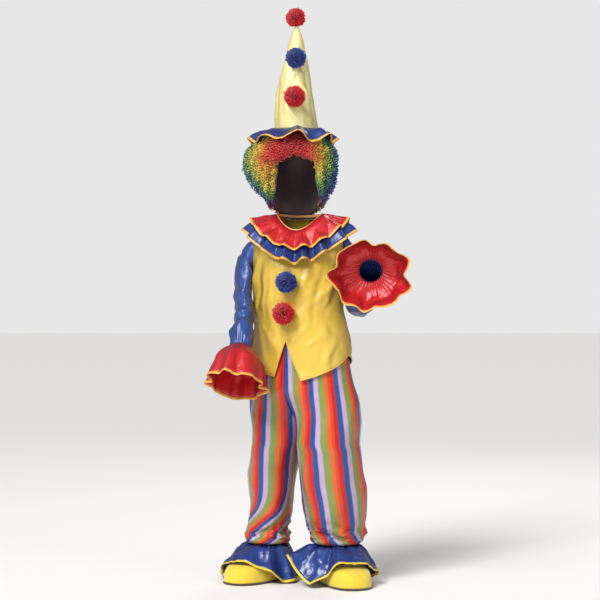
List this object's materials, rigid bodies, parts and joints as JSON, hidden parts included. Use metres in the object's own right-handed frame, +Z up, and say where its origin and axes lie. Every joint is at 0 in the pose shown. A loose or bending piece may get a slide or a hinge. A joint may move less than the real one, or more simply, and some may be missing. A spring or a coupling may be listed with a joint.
{
  "type": "clown costume",
  "caption": "Clown costume as worn: cone hat, curly wig, satin tunic with ruffled collars and cuffs, striped trousers with ankle ruffles, shoe covers.",
  "frame": {"origin": "centre of the neck opening at shoulder level, where the wearer's shoulders hold the costume", "axes": "+Z up, -Y the way the wearer faces, +X the wearer's left"},
  "size_m": [0.4944, 0.4034, 1.4047],
  "materials": {
    "hat_cream": "pale yellow satin, soft sheen",
    "collar_blue": "royal blue satin",
    "edge_gold": "golden bias binding",
    "pompom_red": "red yarn pompom",
    "pompom_blue": "blue yarn pompom",
    "wig_curls": "rainbow synthetic curls",
    "tunic_yellow": "yellow satin",
    "tunic_edge": "narrow yellow hem edge",
    "neck_gold": "yellow-orange neck binding",
    "collar_red": "red satin",
    "cuff_red": "red satin",
    "sleeve_blue": "royal blue satin",
    "waist_white": "plain elastic waistband",
    "striped_satin": "satin with rainbow stripes",
    "ankle_blue": "royal blue satin",
    "ankle_gold": "yellow bias binding",
    "shoe_yellow": "lemon yellow felt-backed cloth",
    "sole_brown": "dark brown felt sole"
  },
  "bodies": {
    "root": {"hat_cone": "hat_cream", "hat_brim": "collar_blue", "hat_brim_binding": "edge_gold", "hat_pompom_top": "pompom_red", "hat_pompom_middle": "pompom_blue", "hat_pompom_lower": "pompom_red", "wig": "wig_curls", "tunic_front": "tunic_yellow", "tunic_back": "tunic_yellow", "hem_binding_front": "tunic_edge", "hem_binding_back": "tunic_edge", "neck_binding": "neck_gold", "collar_red": "collar_red", "collar_red_binding": "edge_gold", "collar_blue": "collar_blue", "collar_blue_binding": "edge_gold", "chest_pompom_blue": "pompom_blue", "chest_pompom_red": "pompom_red", "sleeve_right": "sleeve_blue", "sleeve_left": "sleeve_blue", "cuff_right": "cuff_red", "cuff_left": "cuff_red", "cuff_right_binding": "edge_gold", "cuff_left_binding": "edge_gold", "trouser_waistband": "waist_white", "trouser_leg_right": "striped_satin", "trouser_leg_left": "striped_satin", "ankle_ruffle_right": "ankle_blue", "ankle_ruffle_left": "ankle_blue", "ankle_binding_right": "ankle_gold", "ankle_binding_left": "ankle_gold", "shoe_cover_right": "shoe_yellow", "shoe_cover_left": "shoe_yellow", "shoe_sole_right": "sole_brown", "shoe_sole_left": "sole_brown"}
  },
  "joints": []
}
